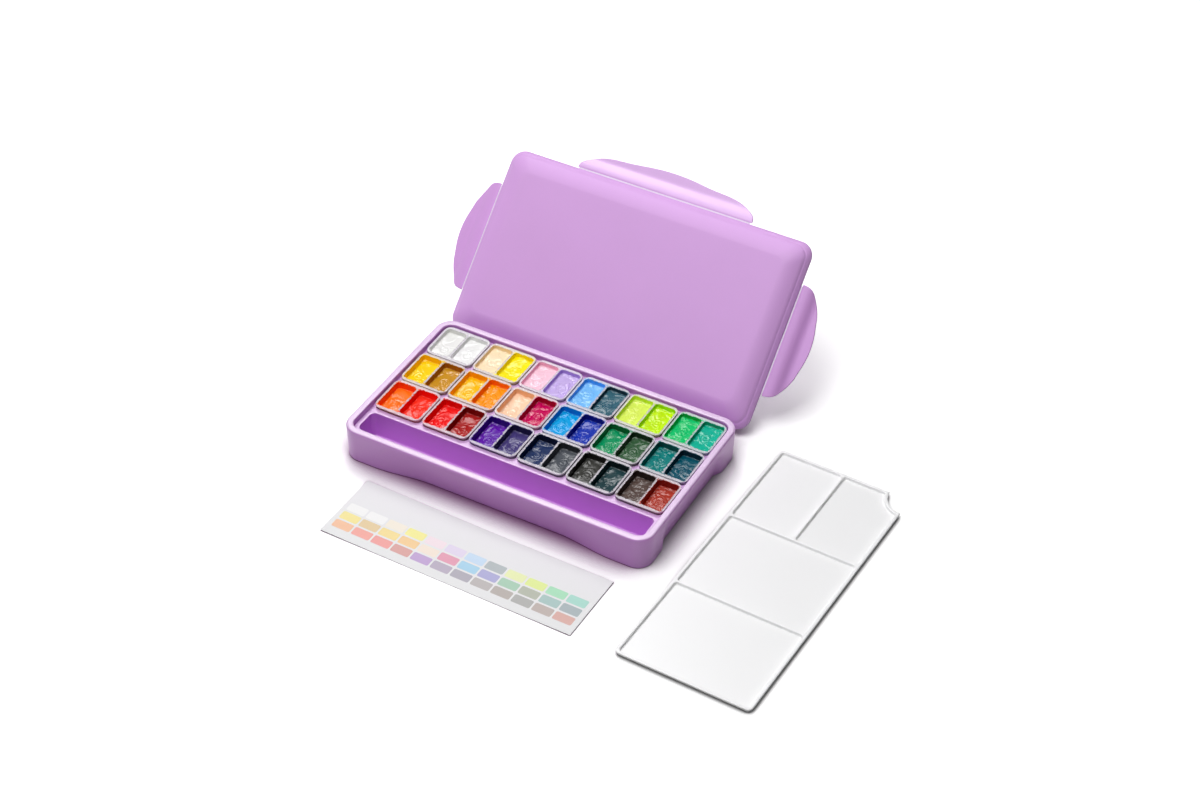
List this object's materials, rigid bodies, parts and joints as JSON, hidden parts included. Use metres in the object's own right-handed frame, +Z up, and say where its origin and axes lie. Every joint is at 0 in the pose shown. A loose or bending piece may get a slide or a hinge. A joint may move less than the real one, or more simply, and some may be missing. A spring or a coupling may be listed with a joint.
{
  "type": "gouache paint set box",
  "caption": "Moulded paint case with lift-out twin paint cups, a brush trough and a pillow lid with clip-down flaps, shown open with its mixing palette and colour card.",
  "frame": {"origin": "centre of the case's flat underside, at floor level", "axes": "+X along the case's long side, towards the palette; +Y towards the lid; +Z up"},
  "size_m": [0.4407, 0.3956, 0.1273],
  "materials": {
    "case_plastic": "satin lilac",
    "lid_plastic": "satin lilac",
    "cup_plastic": "milky, translucent",
    "palette_plastic": "smooth white",
    "card_stock": "printed card",
    "gouache_back1": "wet gouache",
    "gouache_back2": "wet gouache",
    "gouache_back3": "wet gouache",
    "gouache_back4": "wet gouache",
    "gouache_back5": "wet gouache",
    "gouache_back6": "wet gouache",
    "gouache_middle1": "wet gouache",
    "gouache_middle2": "wet gouache",
    "gouache_middle3": "wet gouache",
    "gouache_middle4": "wet gouache",
    "gouache_middle5": "wet gouache",
    "gouache_middle6": "wet gouache",
    "gouache_front1": "wet gouache",
    "gouache_front2": "wet gouache",
    "gouache_front3": "wet gouache",
    "gouache_front4": "wet gouache",
    "gouache_front5": "wet gouache",
    "gouache_front6": "wet gouache"
  },
  "bodies": {
    "case": {"case": "case_plastic"},
    "lid": {"lid": "lid_plastic"},
    "flap_back": {"flap_back": "lid_plastic"},
    "flap_front": {"flap_front": "lid_plastic"},
    "flap_left": {"flap_left": "lid_plastic"},
    "flap_right": {"flap_right": "lid_plastic"},
    "cup_back1": {"cup_back1": "cup_plastic", "paint_back1": "gouache_back1"},
    "cup_back2": {"cup_back2": "cup_plastic", "paint_back2": "gouache_back2"},
    "cup_back3": {"cup_back3": "cup_plastic", "paint_back3": "gouache_back3"},
    "cup_back4": {"cup_back4": "cup_plastic", "paint_back4": "gouache_back4"},
    "cup_back5": {"cup_back5": "cup_plastic", "paint_back5": "gouache_back5"},
    "cup_back6": {"cup_back6": "cup_plastic", "paint_back6": "gouache_back6"},
    "cup_middle1": {"cup_middle1": "cup_plastic", "paint_middle1": "gouache_middle1"},
    "cup_middle2": {"cup_middle2": "cup_plastic", "paint_middle2": "gouache_middle2"},
    "cup_middle3": {"cup_middle3": "cup_plastic", "paint_middle3": "gouache_middle3"},
    "cup_middle4": {"cup_middle4": "cup_plastic", "paint_middle4": "gouache_middle4"},
    "cup_middle5": {"cup_middle5": "cup_plastic", "paint_middle5": "gouache_middle5"},
    "cup_middle6": {"cup_middle6": "cup_plastic", "paint_middle6": "gouache_middle6"},
    "cup_front1": {"cup_front1": "cup_plastic", "paint_front1": "gouache_front1"},
    "cup_front2": {"cup_front2": "cup_plastic", "paint_front2": "gouache_front2"},
    "cup_front3": {"cup_front3": "cup_plastic", "paint_front3": "gouache_front3"},
    "cup_front4": {"cup_front4": "cup_plastic", "paint_front4": "gouache_front4"},
    "cup_front5": {"cup_front5": "cup_plastic", "paint_front5": "gouache_front5"},
    "cup_front6": {"cup_front6": "cup_plastic", "paint_front6": "gouache_front6"},
    "palette": {"palette": "palette_plastic"},
    "colour_card": {"colour_card": "card_stock"}
  },
  "joints": [
    {"name": "lid_lift", "type": "slide", "parent": "case", "child": "lid", "axis": [0, 0.723, 0.6909], "range_m": [0, 0.15]},
    {"name": "front_flap_hinge", "type": "hinge", "parent": "lid", "child": "flap_front", "pos_m": [-0.0046, 0.0938, 0.0063], "axis": [1, 0, 0], "range_deg": [0, 118.7]},
    {"name": "back_flap_hinge", "type": "hinge", "parent": "lid", "child": "flap_back", "pos_m": [-0.0046, 0.20919, 0.11657], "axis": [-1, 0, 0], "range_deg": [-45, 75]},
    {"name": "right_flap_hinge", "type": "hinge", "parent": "lid", "child": "flap_right", "pos_m": [0.133, 0.15149, 0.06143], "axis": [0, 0.723, 0.6909], "range_deg": [-45, 75]},
    {"name": "left_flap_hinge", "type": "hinge", "parent": "lid", "child": "flap_left", "pos_m": [-0.1422, 0.15149, 0.06143], "axis": [0, -0.723, -0.6909], "range_deg": [-45, 75]},
    {"name": "lift_back1", "type": "slide", "parent": "case", "child": "cup_back1", "axis": [0, 0, 1], "range_m": [0, 0.045]},
    {"name": "lift_back2", "type": "slide", "parent": "case", "child": "cup_back2", "axis": [0, 0, 1], "range_m": [0, 0.045]},
    {"name": "lift_back3", "type": "slide", "parent": "case", "child": "cup_back3", "axis": [0, 0, 1], "range_m": [0, 0.045]},
    {"name": "lift_back4", "type": "slide", "parent": "case", "child": "cup_back4", "axis": [0, 0, 1], "range_m": [0, 0.045]},
    {"name": "lift_back5", "type": "slide", "parent": "case", "child": "cup_back5", "axis": [0, 0, 1], "range_m": [0, 0.045]},
    {"name": "lift_back6", "type": "slide", "parent": "case", "child": "cup_back6", "axis": [0, 0, 1], "range_m": [0, 0.045]},
    {"name": "lift_middle1", "type": "slide", "parent": "case", "child": "cup_middle1", "axis": [0, 0, 1], "range_m": [0, 0.045]},
    {"name": "lift_middle2", "type": "slide", "parent": "case", "child": "cup_middle2", "axis": [0, 0, 1], "range_m": [0, 0.045]},
    {"name": "lift_middle3", "type": "slide", "parent": "case", "child": "cup_middle3", "axis": [0, 0, 1], "range_m": [0, 0.045]},
    {"name": "lift_middle4", "type": "slide", "parent": "case", "child": "cup_middle4", "axis": [0, 0, 1], "range_m": [0, 0.045]},
    {"name": "lift_middle5", "type": "slide", "parent": "case", "child": "cup_middle5", "axis": [0, 0, 1], "range_m": [0, 0.045]},
    {"name": "lift_middle6", "type": "slide", "parent": "case", "child": "cup_middle6", "axis": [0, 0, 1], "range_m": [0, 0.045]},
    {"name": "lift_front1", "type": "slide", "parent": "case", "child": "cup_front1", "axis": [0, 0, 1], "range_m": [0, 0.045]},
    {"name": "lift_front2", "type": "slide", "parent": "case", "child": "cup_front2", "axis": [0, 0, 1], "range_m": [0, 0.045]},
    {"name": "lift_front3", "type": "slide", "parent": "case", "child": "cup_front3", "axis": [0, 0, 1], "range_m": [0, 0.045]},
    {"name": "lift_front4", "type": "slide", "parent": "case", "child": "cup_front4", "axis": [0, 0, 1], "range_m": [0, 0.045]},
    {"name": "lift_front5", "type": "slide", "parent": "case", "child": "cup_front5", "axis": [0, 0, 1], "range_m": [0, 0.045]},
    {"name": "lift_front6", "type": "slide", "parent": "case", "child": "cup_front6", "axis": [0, 0, 1], "range_m": [0, 0.045]},
    {"name": "palette_lift", "type": "slide", "parent": "case", "child": "palette", "axis": [0, 0, 1], "range_m": [0, 0.06]},
    {"name": "card_lift", "type": "slide", "parent": "case", "child": "colour_card", "axis": [0, 0, 1], "range_m": [0, 0.04]}
  ]
}
